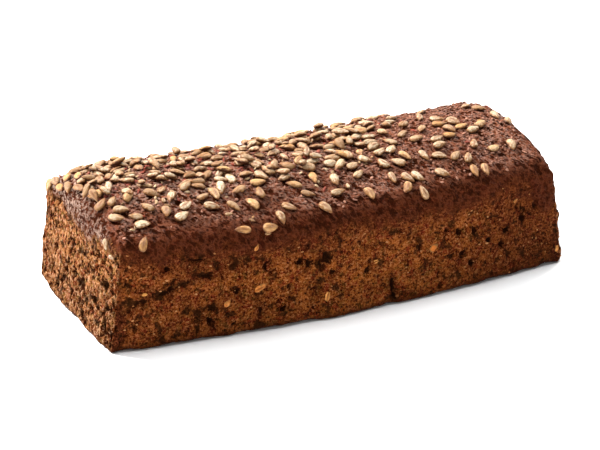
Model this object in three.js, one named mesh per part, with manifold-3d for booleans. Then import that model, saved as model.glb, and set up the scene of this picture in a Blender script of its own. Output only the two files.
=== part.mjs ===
// A whole rye bread loaf, baked in a tin: flat base, near-upright walls, a domed crust with
// sunflower kernels pressed into it. Loaf, kernels and cracks are one solid.
//
// Millimetres, +Z up. +X runs along the loaf and -Y is its front side. The origin is the middle of
// the flat base.
import * as THREE from "three";
import { mergeVertices } from "three/addons/utils/BufferGeometryUtils.js";
import Module from "manifold-3d";

const wasm = await Module();
wasm.setup();

// ---------------------------------------------------------------- driving dimensions

const LENGTH = 280;
const WIDTH = 115;
const CROWN_HEIGHT = 74.6; // top of the dome at mid-length
const WALL_HEIGHT = 56; // where the walls turn into the crust's shoulder

const DOME_DROP = 15.3; // how much lower the crust is at the side walls than along its ridge
const END_DROP = 2.3; // how much lower the ridge is at the ends
const SIDE_BULGE = 4.7; // each side wall stands this much further out at mid-length than at the ends
const END_BULGE = 2.3; // the same for the end walls
const PLAN_BOW = 6.6; // the whole loaf bends this much towards the front at mid-length
const SIDE_FLARE = 0.9; // the side walls lean out this much by WALL_HEIGHT
const END_LEAN = 6.4; // the end walls lean in this much by WALL_HEIGHT
const MOST_HEIGHT_SHARE = 1.4; // flare and lean stop growing at this share of WALL_HEIGHT

const SHOULDER_RADIUS = 10;
const CORNER_RADIUS = 2.5;
const FOOT_RADIUS = 3.7;

const HALF_LENGTH = LENGTH / 2;
const HALF_WIDTH = WIDTH / 2;

// Two swellings of the crust, near the loaf's ends.
const SWELLINGS = [
  { x: -95, height: 1.3, reach: 28 },
  { x: 70, height: 0.7, reach: 30 },
];

// Long, shallow waves all over the crust and walls.
const WAVES = { count: 12, shortest: 24, longest: 70, height: 0.2, seed: 4211 };

// How many steps the body's surface takes along its length, width and height. They are closer
// together towards the edges, by this share.
const BODY_STEPS = [26, 13, 7];
const EDGE_CROWDING = 0.2;

// A level line inside the loaf, along its middle, that its surface is drawn in towards.
const SPINE = { height: 30, inset: 50 }; // the line ends this far inside each end wall
const BEYOND = 1.15; // surface points start this many times as far out as the sharp-edged form

// How finely the surface is found.
const PROBE = 0.2;
const HALVINGS = 40;
const FLATTEN_WITHIN = 0.03; // faces that differ by less than this become one

// One kernel: a plump teardrop, pointed at one end. Its middle lies above the crust by its lift,
// and its keel reaches down into the loaf.
const KERNEL = { length: 9.6, width: 5.2, thickness: 3.2, lift: 1 };
// Rings round the teardrop: the place along it and the girth there, as shares of length and width.
const KERNEL_RINGS = [
  { at: -0.3, girth: 0.92 },
  { at: 0.14, girth: 0.88 },
];
// A ring's corners: their direction in degrees, and how far out they lie as a share of its girth.
const KERNEL_CORNERS = [
  { turn: 0, reach: 1 },
  { turn: 55, reach: 1.05 },
  { turn: 125, reach: 1.05 },
  { turn: 180, reach: 1 },
  { turn: 270, reach: 1.6 },
];
const KERNEL_SIZES = { smallest: 0.82, largest: 1.1, placed: 0.95 };
const MOST_ROLL = 0.35; // radians, about the kernel's own length
const MOST_NOD = 0.16; // radians, tip up or down
const KERNEL_EDGE = 6; // kernels fall this far inside the loaf's plan
const KERNEL_TRIES = 3200;
const KERNEL_SEED = 90217;

// A kernel keeps clear of its neighbours as a row of three beads does.
const KERNEL_BEADS = [-0.3, 0, 0.3]; // the beads' places along it, as shares of its length
const BEAD_GAP = 0.84 * KERNEL.width;

// How thickly the kernels lie where they fell: most along the ridge, thinning towards both long
// sides and towards the right end, with none on the front shoulder.
const SCATTER = {
  thickest: 0.6, // chance that a kernel stays where it falls on the ridge
  ridge: 3,
  spread: 34,
  narrowing: 7, // how much less the spread is at the right end
  thinning: 0.93, // how much fewer they are there
  thinningStart: 18, // the thinning starts at this x on the middle line
  thinningEnd: 62,
  thinningSlant: 0.7, // and this much further left for each millimetre towards the front
  frontEdge: -45,
  frontBlend: 10,
  frontRise: 6, // how much further back the front edge lies at the right end
};

// Kernels that lie apart, on the front shoulder and towards the right end: place, and turn in degrees.
const PLACED_KERNELS = [
  { x: -123.7, y: -27.9, turn: -37 },
  { x: -119.4, y: -23.6, turn: -24 },
  { x: -116.5, y: -47.5, turn: 66 },
  { x: -112.7, y: -37, turn: -7 },
  { x: -105.8, y: -26.8, turn: 124 },
  { x: -90.8, y: -38.4, turn: 20 },
  { x: -85.7, y: -32, turn: 32 },
  { x: -72.4, y: -35.9, turn: -27 },
  { x: -61.1, y: -38.9, turn: -63 },
  { x: -62.3, y: -53.2, turn: 163 },
  { x: -46.5, y: -54, turn: -1 },
  { x: -38.9, y: -50.6, turn: -87 },
  { x: -31, y: -45.3, turn: -45 },
  { x: -12.5, y: -51.5, turn: -66 },
  { x: -0.5, y: -42.1, turn: 4 },
  { x: 15.2, y: -48.4, turn: -83 },
  { x: 16.5, y: -32.5, turn: 34 },
  { x: 16.6, y: -24.6, turn: 26 },
  { x: 26.2, y: -20.8, turn: -42 },
  { x: 33.8, y: -39.5, turn: -95 },
  { x: 34.5, y: -26.6, turn: 108 },
  { x: 36.8, y: -16.9, turn: 27 },
  { x: 37.8, y: -48.4, turn: -127 },
  { x: 38.9, y: 0, turn: 3 },
  { x: 42.4, y: -41.4, turn: -66 },
  { x: 42.6, y: -28.4, turn: 139 },
  { x: 44.2, y: -16.6, turn: 43 },
  { x: 46, y: -52.2, turn: 96 },
  { x: 47.4, y: -9.2, turn: 124 },
  { x: 48, y: -42.2, turn: -64 },
  { x: 48.6, y: -25, turn: -64 },
  { x: 58.4, y: -3.5, turn: 36 },
  { x: 59.3, y: -27.4, turn: -81 },
  { x: 62.6, y: -42.9, turn: -38 },
  { x: 62.8, y: -11.4, turn: 9 },
  { x: 65.4, y: 9.6, turn: 46 },
  { x: 67.6, y: -30.2, turn: -28 },
  { x: 72.2, y: -21.8, turn: 12 },
  { x: 73.2, y: -16.3, turn: 20 },
  { x: 76.9, y: -32, turn: 41 },
  { x: 81.5, y: -45.6, turn: -93 },
  { x: 82.4, y: -13.8, turn: 2 },
  { x: 82.8, y: -34.6, turn: 62 },
  { x: 84.4, y: 2.6, turn: -8 },
  { x: 86.2, y: -6.2, turn: -67 },
  { x: 86.4, y: 9.1, turn: -31 },
  { x: 88.2, y: -45.6, turn: -95 },
  { x: 92, y: -23.7, turn: 62 },
  { x: 94.6, y: -5.4, turn: 12 },
  { x: 99.2, y: -10.6, turn: 20 },
  { x: 102.3, y: -28.8, turn: 16 },
  { x: 106.4, y: -6.3, turn: 32 },
  { x: 113.5, y: -28.5, turn: -98 },
  { x: 116.8, y: 15.3, turn: -51 },
  { x: 119.9, y: 2, turn: -92 },
];

// Cracks and folds of the front wall. A path's places are (x, z) on the wall; its groove is sharp
// at the bottom and runs out to nothing at both ends.
const FRONT_CRACKS = [
  { path: [[25, 18], [24.6, 12], [25.4, 6], [27, 1.5]], width: 1.8, depth: 3 },
  { path: [[-54.5, 26], [-55, 19], [-54, 11], [-55, 5]], width: 1.6, depth: 1.6 },
  { path: [[-19.5, 42], [-20, 34], [-19, 26], [-20, 19]], width: 1.5, depth: 1.5 },
  { path: [[-95, 49.5], [-91, 48.5], [-87, 48.5], [-84, 46.5]], width: 1.4, depth: 1.6 },
  { path: [[-133, 23], [-126, 28], [-112, 31], [-99, 36], [-86, 39], [-70, 42.5]], width: 2.6, depth: 1.4 },
  { path: [[-89, 17.5], [-82, 19.5], [-75, 20], [-68, 23]], width: 1.6, depth: 1.2 },
];

// Open holes in the two end walls. The lowest and highest are shares of WALL_HEIGHT, and the outermost
// is a share of the wall's half width.
const END_HOLES = { tries: 60, gap: 13, smallest: 2.2, largest: 4.4, depth: 2.2, sides: 5, seed: 733 };
const END_HOLE_PLACES = { lowest: 0.12, highest: 0.85, outermost: 0.8 };

const CUT_CLEARANCE = 0.5; // how far a cutting solid stands out of the wall

// ---------------------------------------------------------------- seeded draws

// Park and Miller's generator: whole numbers only, so it repeats exactly.
const GENERATOR = { multiplier: 16807, modulus: 2147483647 };

function seededDraws(seed) {
  let state = seed;
  return () => {
    state = (state * GENERATOR.multiplier) % GENERATOR.modulus;
    return state / GENERATOR.modulus;
  };
}

// ---------------------------------------------------------------- the loaf's form

const clamp = THREE.MathUtils.clamp;
const mix = THREE.MathUtils.lerp;
const smoothstep = THREE.MathUtils.smoothstep;

// How far the loaf's middle line is bent towards the front at x.
const bowAt = (x) => PLAN_BOW * (1 - (x / HALF_LENGTH) ** 2);
// This centres the bent loaf on y = 0.
const PLAN_SHIFT = (PLAN_BOW + SIDE_BULGE) / 2;

const heightShare = (z) => clamp(z / WALL_HEIGHT, 0, MOST_HEIGHT_SHARE);

function sideReach(x, z) {
  return HALF_WIDTH - SIDE_BULGE * (x / HALF_LENGTH) ** 2 + SIDE_FLARE * heightShare(z);
}

function endReach(across, z) {
  return HALF_LENGTH - END_BULGE * (across / HALF_WIDTH) ** 2 - END_LEAN * heightShare(z);
}

function crownAt(x, across) {
  let z = CROWN_HEIGHT - DOME_DROP * (across / HALF_WIDTH) ** 2 - END_DROP * (x / HALF_LENGTH) ** 4;
  for (const swelling of SWELLINGS) {
    z += swelling.height * Math.exp(-(((x - swelling.x) / swelling.reach) ** 2));
  }
  return z;
}

function makeWaves() {
  const draw = seededDraws(WAVES.seed);
  return Array.from({ length: WAVES.count }, () => {
    const wavelength = mix(WAVES.shortest, WAVES.longest, draw());
    const lift = 2 * draw() - 1;
    const turn = 2 * Math.PI * draw();
    const flat = Math.sqrt(1 - lift * lift);
    const phase = 2 * Math.PI * draw();
    const direction = new THREE.Vector3(flat * Math.cos(turn), flat * Math.sin(turn), lift);
    return { vector: direction.multiplyScalar((2 * Math.PI) / wavelength), phase };
  });
}

const waves = makeWaves();

function unevenness(point) {
  let sum = 0;
  for (const wave of waves) sum += Math.sin(wave.vector.dot(point) + wave.phase);
  return WAVES.height * sum;
}

// The larger of two distances, with the edge between them rounded to a radius.
function roundedMax(first, second, radius) {
  const a = first + radius;
  const b = second + radius;
  return Math.min(Math.max(a, b), 0) + Math.hypot(Math.max(a, 0), Math.max(b, 0)) - radius;
}

// Below zero inside the loaf, above zero outside it.
function formAt(point) {
  const across = point.y - PLAN_SHIFT + bowAt(point.x);
  const side = Math.abs(across) - sideReach(point.x, point.z);
  const end = Math.abs(point.x) - endReach(across, point.z);
  const wall = roundedMax(side, end, CORNER_RADIUS);
  const top = point.z - crownAt(point.x, across);
  const crust = roundedMax(wall, top, SHOULDER_RADIUS) - unevenness(point);
  return roundedMax(crust, -point.z, FOOT_RADIUS);
}

// The outward direction of the surface near a point.
function outwardAt(point) {
  const slope = (axis) => {
    const ahead = point.clone();
    const behind = point.clone();
    ahead[axis] += PROBE;
    behind[axis] -= PROBE;
    return formAt(ahead) - formAt(behind);
  };
  return new THREE.Vector3(slope("x"), slope("y"), slope("z")).normalize();
}

// Where the line from a point inside to a point outside crosses the surface.
function crossing(inside, outside) {
  let near = 0;
  let far = 1;
  const point = new THREE.Vector3();
  for (let i = 0; i < HALVINGS; i++) {
    const middle = (near + far) / 2;
    point.lerpVectors(inside, outside, middle);
    if (formAt(point) < 0) near = middle;
    else far = middle;
  }
  return point.lerpVectors(inside, outside, (near + far) / 2);
}

// The crust straight above a place in plan.
function crustAbove(x, y) {
  const inside = new THREE.Vector3(x, y, WALL_HEIGHT / 2);
  return crossing(inside, new THREE.Vector3(x, y, CROWN_HEIGHT + SHOULDER_RADIUS));
}

// ---------------------------------------------------------------- from geometry to solid and back

function solidOf(geometry) {
  const bare = new THREE.BufferGeometry();
  bare.setAttribute("position", geometry.getAttribute("position"));
  bare.setIndex(geometry.getIndex());
  const merged = mergeVertices(bare);
  const mesh = new wasm.Mesh({
    numProp: 3,
    vertProperties: new Float32Array(merged.attributes.position.array),
    triVerts: new Uint32Array(merged.index.array),
  });
  return new wasm.Manifold(mesh);
}

function geometryOf(solid) {
  const mesh = solid.getMesh();
  const geometry = new THREE.BufferGeometry();
  geometry.setAttribute("position", new THREE.BufferAttribute(mesh.vertProperties, 3));
  geometry.setIndex(new THREE.BufferAttribute(mesh.triVerts, 1));
  geometry.computeVertexNormals();
  return geometry;
}

// ---------------------------------------------------------------- the body

// A gridded box, laid first on the loaf's sharp-edged form and then drawn in to the rounded one.
function makeBody() {
  const box = new THREE.BoxGeometry(2, 2, 2, ...BODY_STEPS);
  const places = box.attributes.position;
  const share = new THREE.Vector3();
  const spineEnd = HALF_LENGTH - SPINE.inset;
  for (let i = 0; i < places.count; i++) {
    share.fromBufferAttribute(places, i);
    for (const axis of ["x", "y", "z"]) share[axis] *= 1 + EDGE_CROWDING * (1 - share[axis] ** 2);
    const rise = (share.z + 1) / 2;
    const ridge = crownAt(share.x * HALF_LENGTH, share.y * HALF_WIDTH);
    const z = rise * ridge;
    const x = share.x * endReach(share.y * HALF_WIDTH, z);
    const y = share.y * sideReach(x, z) - bowAt(x) + PLAN_SHIFT;
    const spine = new THREE.Vector3(clamp(x, -spineEnd, spineEnd), -bowAt(x) + PLAN_SHIFT, SPINE.height);
    const beyond = new THREE.Vector3(x, y, z).sub(spine).multiplyScalar(BEYOND).add(spine);
    const point = crossing(spine, beyond);
    if (share.z === -1) point.z = 0;
    places.setXYZ(i, point.x, point.y, point.z);
  }
  return solidOf(box);
}

// ---------------------------------------------------------------- the kernels

// One teardrop lying along +X with its flat side up, centred on the origin.
function kernelGeometry() {
  const sides = KERNEL_CORNERS.length;
  const points = [[-KERNEL.length / 2, 0, 0]];
  for (const ring of KERNEL_RINGS) {
    for (const { turn, reach } of KERNEL_CORNERS) {
      const angle = THREE.MathUtils.degToRad(turn);
      const y = 0.5 * KERNEL.width * ring.girth * reach * Math.cos(angle);
      const z = 0.5 * KERNEL.thickness * ring.girth * reach * Math.sin(angle);
      points.push([ring.at * KERNEL.length, y, z]);
    }
  }
  points.push([KERNEL.length / 2, 0, 0]);
  const last = points.length - 1;
  const faces = [];
  const corner = (ring, side) => 1 + ring * sides + (side % sides);
  for (let side = 0; side < sides; side++) {
    faces.push(0, corner(0, side + 1), corner(0, side));
    for (let ring = 0; ring + 1 < KERNEL_RINGS.length; ring++) {
      faces.push(corner(ring, side), corner(ring, side + 1), corner(ring + 1, side));
      faces.push(corner(ring, side + 1), corner(ring + 1, side + 1), corner(ring + 1, side));
    }
    const front = KERNEL_RINGS.length - 1;
    faces.push(corner(front, side), corner(front, side + 1), last);
  }
  const geometry = new THREE.BufferGeometry();
  geometry.setAttribute("position", new THREE.BufferAttribute(new Float32Array(points.flat()), 3));
  geometry.setIndex(faces);
  return geometry;
}

// The chance that a kernel stays where it falls.
function scatterAt(x, across) {
  const slanted = x - SCATTER.thinningSlant * across;
  const right = smoothstep(slanted, SCATTER.thinningStart, SCATTER.thinningEnd);
  const spread = SCATTER.spread - SCATTER.narrowing * right;
  const edge = SCATTER.frontEdge + SCATTER.frontRise * right;
  const front = smoothstep(across, edge, edge + SCATTER.frontBlend);
  const bell = Math.exp(-(((across - SCATTER.ridge) / spread) ** 2));
  return SCATTER.thickest * front * bell * (1 - SCATTER.thinning * right);
}

function beadsOf(kernel) {
  return KERNEL_BEADS.map((share) => {
    const along = share * KERNEL.length * kernel.size;
    return [kernel.x + along * Math.cos(kernel.turn), kernel.y + along * Math.sin(kernel.turn)];
  });
}

function placeKernels() {
  const draw = seededDraws(KERNEL_SEED);
  const kernels = [];
  const takenBeads = [];
  const keep = (kernel) => {
    kernels.push(kernel);
    takenBeads.push(...beadsOf(kernel));
  };
  for (const { x, y, turn } of PLACED_KERNELS) {
    keep({ x, y, turn: THREE.MathUtils.degToRad(turn), size: KERNEL_SIZES.placed, roll: 0, nod: 0 });
  }
  for (let i = 0; i < KERNEL_TRIES; i++) {
    const x = (2 * draw() - 1) * (HALF_LENGTH - END_LEAN - KERNEL_EDGE);
    const across = (2 * draw() - 1) * (HALF_WIDTH - KERNEL_EDGE);
    const turn = 2 * Math.PI * draw();
    const size = mix(KERNEL_SIZES.smallest, KERNEL_SIZES.largest, draw());
    const roll = mix(-MOST_ROLL, MOST_ROLL, draw());
    const nod = mix(-MOST_NOD, MOST_NOD, draw());
    const luck = draw();
    const kernel = { x, y: across - bowAt(x) + PLAN_SHIFT, turn, size, roll, nod };
    if (luck > scatterAt(x, across)) continue;
    const beads = beadsOf(kernel);
    const crowded = takenBeads.some((taken) =>
      beads.some((bead) => Math.hypot(bead[0] - taken[0], bead[1] - taken[1]) < BEAD_GAP),
    );
    if (!crowded) keep(kernel);
  }
  return kernels;
}

// Lies a kernel on the crust, turned in the crust's own plane, rolled and nodded a little.
function lieOnCrust(kernel) {
  const place = crustAbove(kernel.x, kernel.y);
  const up = outwardAt(place);
  const heading = new THREE.Vector3(Math.cos(kernel.turn), Math.sin(kernel.turn), 0);
  heading.addScaledVector(up, -heading.dot(up)).normalize();
  const across = new THREE.Vector3().crossVectors(up, heading);
  const pose = new THREE.Matrix4().makeBasis(heading, across, up);
  pose.multiply(new THREE.Matrix4().makeRotationX(kernel.roll));
  pose.multiply(new THREE.Matrix4().makeRotationY(kernel.nod));
  pose.scale(new THREE.Vector3(kernel.size, kernel.size, kernel.size));
  return pose.setPosition(place.addScaledVector(up, KERNEL.lift));
}

function makeKernels() {
  const shape = kernelGeometry();
  return placeKernels().map((kernel) => solidOf(shape.clone().applyMatrix4(lieOnCrust(kernel))));
}

// ---------------------------------------------------------------- cracks and holes

// A blade that follows a path on the wall. Its section is a wedge, and it ends in two points.
function bladeAlong(path, width, depth) {
  const widen = 1 + CUT_CLEARANCE / depth;
  const points = [];
  path.forEach((place, i) => {
    const outward = outwardAt(place);
    const outside = place.clone().addScaledVector(outward, CUT_CLEARANCE);
    if (i === 0 || i === path.length - 1) {
      points.push(outside);
      return;
    }
    const along = new THREE.Vector3().subVectors(path[i + 1], path[i - 1]);
    const sideways = new THREE.Vector3().crossVectors(outward, along).setLength((width / 2) * widen);
    const bottom = place.clone().addScaledVector(outward, -depth);
    points.push(outside.clone().add(sideways), outside.clone().sub(sideways), bottom);
  });
  const faces = [0, 2, 1, 0, 3, 2, 0, 1, 3];
  const last = points.length - 1;
  for (let near = 1; near + 5 < last; near += 3) {
    const far = near + 3;
    for (const [a, b] of [[0, 1], [1, 2], [2, 0]]) {
      faces.push(near + a, near + b, far + a, near + b, far + b, far + a);
    }
  }
  faces.push(last, last - 3, last - 2, last, last - 2, last - 1, last, last - 1, last - 3);
  const geometry = new THREE.BufferGeometry();
  const numbers = new Float32Array(points.flatMap((point) => point.toArray()));
  geometry.setAttribute("position", new THREE.BufferAttribute(numbers, 3));
  geometry.setIndex(faces);
  return solidOf(geometry);
}

function onFrontWall([x, z]) {
  const middle = new THREE.Vector3(x, -bowAt(x) + PLAN_SHIFT, z);
  return crossing(middle, new THREE.Vector3(x, -WIDTH, z));
}

function makeCracks() {
  return FRONT_CRACKS.map((crack) => bladeAlong(crack.path.map(onFrontWall), crack.width, crack.depth));
}

// A hole is a cone whose point lies inside the wall.
function makeHole(place, outward, radius) {
  const height = END_HOLES.depth + CUT_CLEARANCE;
  const cone = new THREE.ConeGeometry(radius * (height / END_HOLES.depth), height, END_HOLES.sides);
  const point = new THREE.Quaternion().setFromUnitVectors(new THREE.Vector3(0, -1, 0), outward);
  cone.applyQuaternion(point);
  const middle = place.clone().addScaledVector(outward, CUT_CLEARANCE - height / 2);
  return solidOf(cone.translate(middle.x, middle.y, middle.z));
}

function makeEndHoles() {
  const draw = seededDraws(END_HOLES.seed);
  const { lowest, highest, outermost } = END_HOLE_PLACES;
  const holes = [];
  const taken = [];
  for (let i = 0; i < END_HOLES.tries; i++) {
    const end = draw() < 0.5 ? -1 : 1;
    const y = mix(-outermost, outermost, draw()) * HALF_WIDTH + PLAN_SHIFT;
    const z = mix(lowest, highest, draw()) * WALL_HEIGHT;
    const radius = mix(END_HOLES.smallest, END_HOLES.largest, draw()) / 2;
    const inside = new THREE.Vector3(end * (HALF_LENGTH - SPINE.inset), y, z);
    const place = crossing(inside, new THREE.Vector3(end * LENGTH, y, z));
    if (taken.some((other) => other.distanceTo(place) < END_HOLES.gap)) continue;
    taken.push(place);
    holes.push(makeHole(place, outwardAt(place), radius));
  }
  return holes;
}

// ---------------------------------------------------------------- the loaf as one solid

function makeLoaf() {
  const cut = wasm.Manifold.union([...makeCracks(), ...makeEndHoles()]);
  const seeded = wasm.Manifold.union([makeBody(), ...makeKernels()]);
  const whole = seeded.subtract(cut).simplify(FLATTEN_WITHIN);
  const bodies = whole.decompose();
  return bodies.reduce((largest, body) => (body.volume() > largest.volume() ? body : largest));
}

const crust = new THREE.MeshStandardMaterial({ color: 0x5b3220, roughness: 0.85, metalness: 0 });
const loaf = new THREE.Mesh(geometryOf(makeLoaf()), crust);
loaf.name = "loaf";

const part = new THREE.Group();
part.add(loaf);

export default part;
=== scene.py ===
"""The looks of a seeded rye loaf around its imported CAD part.

The loaf's form, and the places of its kernels, cracks and end holes, follow the same driving
dimensions and rules as the CAD source. All of that is worked out in millimetres, with +X along the
loaf and -Y at its front, and turned into metres where a mesh is made.
"""
import math

import bmesh
import bpy
import numpy as np
from mathutils import Matrix, Vector


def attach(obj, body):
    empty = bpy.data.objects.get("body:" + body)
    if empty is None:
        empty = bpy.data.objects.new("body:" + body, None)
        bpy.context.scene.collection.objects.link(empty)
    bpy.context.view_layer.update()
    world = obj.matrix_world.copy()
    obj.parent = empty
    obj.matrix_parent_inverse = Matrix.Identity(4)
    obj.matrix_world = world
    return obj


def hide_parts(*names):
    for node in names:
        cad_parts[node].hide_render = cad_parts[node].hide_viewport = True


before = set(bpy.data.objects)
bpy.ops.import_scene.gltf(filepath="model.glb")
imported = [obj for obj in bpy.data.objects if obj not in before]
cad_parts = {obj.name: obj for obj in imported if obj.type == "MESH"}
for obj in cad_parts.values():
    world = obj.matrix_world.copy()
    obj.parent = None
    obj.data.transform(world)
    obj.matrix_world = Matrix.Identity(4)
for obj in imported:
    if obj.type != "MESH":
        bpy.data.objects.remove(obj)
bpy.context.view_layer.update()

MM = 0.001

# ---- driving dimensions (mm)

LENGTH = 280
WIDTH = 115
CROWN_HEIGHT = 74.6  # top of the dome at mid-length
WALL_HEIGHT = 56  # where the walls turn into the crust's shoulder
DOME_DROP = 15.3
END_DROP = 2.3
SIDE_BULGE = 4.7
END_BULGE = 2.3
PLAN_BOW = 6.6  # the whole loaf bends this much towards the front at mid-length
SIDE_FLARE = 0.9
END_LEAN = 6.4
MOST_HEIGHT_SHARE = 1.4  # flare and lean stop growing at this share of WALL_HEIGHT
SHOULDER_RADIUS = 10
CORNER_RADIUS = 2.5
FOOT_RADIUS = 3.7

HALF_LENGTH = LENGTH / 2
HALF_WIDTH = WIDTH / 2
PLAN_SHIFT = (PLAN_BOW + SIDE_BULGE) / 2  # centres the bent loaf on y = 0

# (place along the loaf, height, reach) of each swelling of the crust
SWELLINGS = [(-95, 1.3, 28), (70, 0.7, 30)]
WAVES = dict(count=12, shortest=24, longest=70, height=0.2, seed=4211)

KERNEL_LENGTH = 9.6
KERNEL_WIDTH = 5.2
KERNEL_THICKNESS = 3.2
KERNEL_LIFT = 1.0
KERNEL_SIZES = (0.82, 1.1)
PLACED_SIZE = 0.95
MOST_ROLL = 0.35
MOST_NOD = 0.16
KERNEL_EDGE = 6
KERNEL_TRIES = 3200
KERNEL_SEED = 90217
KERNEL_BEADS = (-0.3, 0, 0.3)
BEAD_GAP = 0.84 * KERNEL_WIDTH

SCATTER = dict(
    thickest=0.6, ridge=3, spread=34, narrowing=7,
    thinning=0.93, thinning_start=18, thinning_end=62, thinning_slant=0.7,
    front_edge=-45, front_blend=10, front_rise=6,
)

# Kernels that lie apart, on the front shoulder and towards the right end: x, y, and turn in degrees.
PLACED_KERNELS = [
    (-123.7, -27.9, -37), (-119.4, -23.6, -24), (-116.5, -47.5, 66), (-112.7, -37, -7),
    (-105.8, -26.8, 124), (-90.8, -38.4, 20), (-85.7, -32, 32), (-72.4, -35.9, -27),
    (-61.1, -38.9, -63), (-62.3, -53.2, 163), (-46.5, -54, -1), (-38.9, -50.6, -87), (-31, -45.3, -45),
    (-12.5, -51.5, -66), (-0.5, -42.1, 4), (15.2, -48.4, -83), (16.5, -32.5, 34), (16.6, -24.6, 26),
    (26.2, -20.8, -42), (33.8, -39.5, -95), (34.5, -26.6, 108), (36.8, -16.9, 27), (37.8, -48.4, -127),
    (38.9, 0, 3), (42.4, -41.4, -66), (42.6, -28.4, 139), (44.2, -16.6, 43), (46, -52.2, 96),
    (47.4, -9.2, 124), (48, -42.2, -64), (48.6, -25, -64), (58.4, -3.5, 36), (59.3, -27.4, -81),
    (62.6, -42.9, -38), (62.8, -11.4, 9), (65.4, 9.6, 46), (67.6, -30.2, -28), (72.2, -21.8, 12),
    (73.2, -16.3, 20), (76.9, -32, 41), (81.5, -45.6, -93), (82.4, -13.8, 2), (82.8, -34.6, 62),
    (84.4, 2.6, -8), (86.2, -6.2, -67), (86.4, 9.1, -31), (88.2, -45.6, -95), (92, -23.7, 62),
    (94.6, -5.4, 12), (99.2, -10.6, 20), (102.3, -28.8, 16), (106.4, -6.3, 32), (113.5, -28.5, -98),
    (116.8, 15.3, -51), (119.9, 2, -92),
]

# Cracks and folds of the front wall: the places (x, z) along each, its width and its depth.
FRONT_CRACKS = [
    ([(25, 18), (24.6, 12), (25.4, 6), (27, 1.5)], 1.8, 3),
    ([(-54.5, 26), (-55, 19), (-54, 11), (-55, 5)], 1.6, 1.6),
    ([(-19.5, 42), (-20, 34), (-19, 26), (-20, 19)], 1.5, 1.5),
    ([(-95, 49.5), (-91, 48.5), (-87, 48.5), (-84, 46.5)], 1.4, 1.6),
    ([(-133, 23), (-126, 28), (-112, 31), (-99, 36), (-86, 39), (-70, 42.5)], 2.6, 1.4),
    ([(-89, 17.5), (-82, 19.5), (-75, 20), (-68, 23)], 1.6, 1.2),
]
# Open holes of the front wall: x, z and diameter.
FRONT_HOLES = [
    (-105.2, 45, 3.5), (-81.3, 10.3, 4.5), (-68.8, 6.9, 3.4), (-67.6, 26.5, 5), (-50.6, 39.1, 3.5),
    (-40.1, 12, 3), (-36.1, 23.3, 4), (-31, 37.9, 3.5), (-26.3, 46.6, 3), (-25.6, 35.7, 4),
    (-15.7, 37.4, 6), (-12, 28.3, 3.5), (-1.2, 29.1, 3), (9.8, 25.1, 4), (58.3, 38.4, 3),
    (63, 22, 3), (66.6, 36.3, 3.8), (69.6, 21.9, 4.5), (75.5, 14.8, 4), (76.9, 34, 4.2),
    (85.9, 25.8, 4.5), (95.3, 21.5, 4), (97.9, 29.1, 4.2), (109.2, 33.9, 4), (119.2, 40.8, 6),
]
# Open holes of the left end beside those of the CAD source: y, z and diameter.
LEFT_END_HOLES = [
    (9.4, 42, 5), (-16.2, 39, 4.6), (-24, 22.5, 3.6), (-12.3, 18.1, 4.6), (-7.3, 7.9, 4),
    (-26.5, 9.5, 4.4), (-33.2, 18.2, 4), (-35.5, 35.3, 4.6), (14.6, 17.3, 4), (29, 8.2, 3.4),
    (1.4, 27, 3.8), (-38, 13.3, 3.8), (-45.6, 11.9, 4), (22.6, 24.6, 3.6), (-7.9, 27, 3.6),
]
WALL_HOLE_DEPTH = 2.6
# Open holes of both ends, as in the CAD source. The lowest and highest are shares of WALL_HEIGHT, and the
# outermost is one of HALF_WIDTH.
END_HOLES = dict(tries=60, gap=13, smallest=2.2, largest=4.4, depth=2.2, seed=733)
END_HOLE_PLACES = dict(lowest=0.12, highest=0.85, outermost=0.8)

# ---- seeded draws

GENERATOR_MULTIPLIER = 16807
GENERATOR_MODULUS = 2147483647


def seeded_draws(seed):
    """Park and Miller's generator, as in the CAD source, so that both place the same kernels."""
    state = seed

    def draw():
        nonlocal state
        state = state * GENERATOR_MULTIPLIER % GENERATOR_MODULUS
        return state / GENERATOR_MODULUS

    return draw


def mix(low, high, share):
    return low + (high - low) * share


def smoothstep(value, low, high):
    share = np.clip((value - low) / (high - low), 0, 1)
    return share * share * (3 - 2 * share)


def rows(*columns):
    """The columns side by side, each an array or one number for all rows."""
    return np.stack(np.broadcast_arrays(*columns), axis=1)


def unit(vectors):
    return vectors / np.linalg.norm(vectors, axis=1, keepdims=True)


# ---- the loaf's form


def bow_at(x):
    return PLAN_BOW * (1 - (x / HALF_LENGTH) ** 2)


def height_share(z):
    return np.clip(z / WALL_HEIGHT, 0, MOST_HEIGHT_SHARE)


def side_reach(x, z):
    return HALF_WIDTH - SIDE_BULGE * (x / HALF_LENGTH) ** 2 + SIDE_FLARE * height_share(z)


def end_reach(across, z):
    return HALF_LENGTH - END_BULGE * (across / HALF_WIDTH) ** 2 - END_LEAN * height_share(z)


def crown_at(x, across):
    z = CROWN_HEIGHT - DOME_DROP * (across / HALF_WIDTH) ** 2 - END_DROP * (x / HALF_LENGTH) ** 4
    for place, height, reach in SWELLINGS:
        z = z + height * np.exp(-(((x - place) / reach) ** 2))
    return z


def make_waves():
    draw = seeded_draws(WAVES["seed"])
    waves = []
    for _ in range(WAVES["count"]):
        wavelength = mix(WAVES["shortest"], WAVES["longest"], draw())
        lift = 2 * draw() - 1
        turn = 2 * math.pi * draw()
        phase = 2 * math.pi * draw()
        flat = math.sqrt(1 - lift * lift)
        direction = np.array([flat * math.cos(turn), flat * math.sin(turn), lift])
        waves.append((direction * 2 * math.pi / wavelength, phase))
    return waves


LOAF_WAVES = make_waves()


def unevenness(points):
    return WAVES["height"] * sum(np.sin(points @ wave + phase) for wave, phase in LOAF_WAVES)


def rounded_max(first, second, radius):
    a = first + radius
    b = second + radius
    return np.minimum(np.maximum(a, b), 0) + np.hypot(np.maximum(a, 0), np.maximum(b, 0)) - radius


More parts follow.
